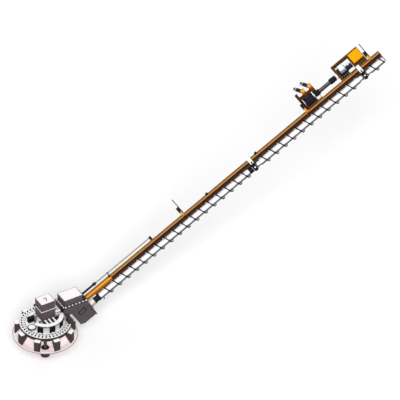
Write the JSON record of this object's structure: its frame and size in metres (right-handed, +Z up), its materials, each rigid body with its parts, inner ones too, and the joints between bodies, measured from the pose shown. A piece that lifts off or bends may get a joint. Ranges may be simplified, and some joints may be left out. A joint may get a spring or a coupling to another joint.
{
  "type": "silo sweep auger",
  "caption": "Silo sweep auger: a floor hopper with a slewing gear turret that carries a long inclined screw, its beam, level sensors and a powered support wheel.",
  "frame": {"origin": "on the underside of the hopper's rim flange, at its side away from the boom", "axes": "+X runs below the boom, +Z up, +Y to the side of the motor and wheel"},
  "size_m": [11.4191, 1.978, 6.2029],
  "materials": {
    "hopper_paint": "satin",
    "ring_steel": "satin",
    "case_paint": "satin",
    "leg_paint": "satin",
    "black_iron": "satin",
    "light_steel": "satin",
    "screw_steel": "brushed",
    "beam_orange": "satin",
    "root_amber": "gloss",
    "board_brown": "satin",
    "guard_yellow": "gloss",
    "wheel_rubber": "matt"
  },
  "bodies": {
    "hub": {"hopper_cone": "hopper_paint", "outlet_spout": "leg_paint", "leg_frame": "leg_paint", "slewing_ring_outer": "ring_steel"},
    "turret": {"slewing_ring_inner": "ring_steel", "turret_cage": "light_steel", "centre_box_lower": "case_paint", "centre_box_upper": "case_paint", "centre_pipe": "case_paint", "side_box": "black_iron", "ring_roller_block": "black_iron", "drive_case": "case_paint", "drive_cover": "case_paint", "link_shaft_guard": "light_steel", "case_hatch": "case_paint", "output_plate": "case_paint", "bearing_neck": "light_steel", "beam_root": "root_amber", "beam_inner": "beam_orange", "beam_outer": "beam_orange", "end_plate": "light_steel", "board_root": "board_brown", "board_inner": "board_brown", "board_outer": "board_brown", "cable_duct": "board_brown", "conduit": "black_iron", "hanger_1": "black_iron", "hanger_2": "black_iron", "sensor_1": "root_amber", "sensor_2": "root_amber", "sensor_3": "root_amber", "motor": "black_iron", "motor_tray": "beam_orange", "eye_arm_1": "root_amber", "eye_arm_2": "root_amber", "wheel_frame": "board_brown", "wheel_gearbox": "case_paint", "wheel_guard": "guard_yellow"},
    "screw": {"screw_shaft": "screw_steel", "screw_coupling": "black_iron", "screw_flight_1": "screw_steel", "screw_flight_2": "screw_steel", "screw_flight_3": "screw_steel"},
    "cardan": {"cardan_shaft": "black_iron"},
    "wheel": {"drive_wheel": "wheel_rubber"}
  },
  "joints": [
    {"name": "slew", "type": "hinge", "parent": "hub", "child": "turret", "pos_m": [0.842, 0, 0.35], "axis": [0, 0, 1], "continuous": true},
    {"name": "screw_spin", "type": "hinge", "parent": "turret", "child": "screw", "pos_m": [2.218, 0, 0.42], "axis": [0.8857, 0, 0.4642], "continuous": true},
    {"name": "cardan_spin", "type": "hinge", "parent": "turret", "child": "cardan", "pos_m": [9.75161, 0.44, 4.57175], "axis": [0.8857, 0, 0.4642], "continuous": true},
    {"name": "wheel_spin", "type": "hinge", "parent": "turret", "child": "wheel", "pos_m": [10.81637, 0.54, 4.98304], "axis": [0.8857, 0, 0.4642], "continuous": true}
  ],
  "couplings": [
    {"joint": "wheel_spin", "follows": "cardan_spin", "ratio": 0.05}
  ]
}
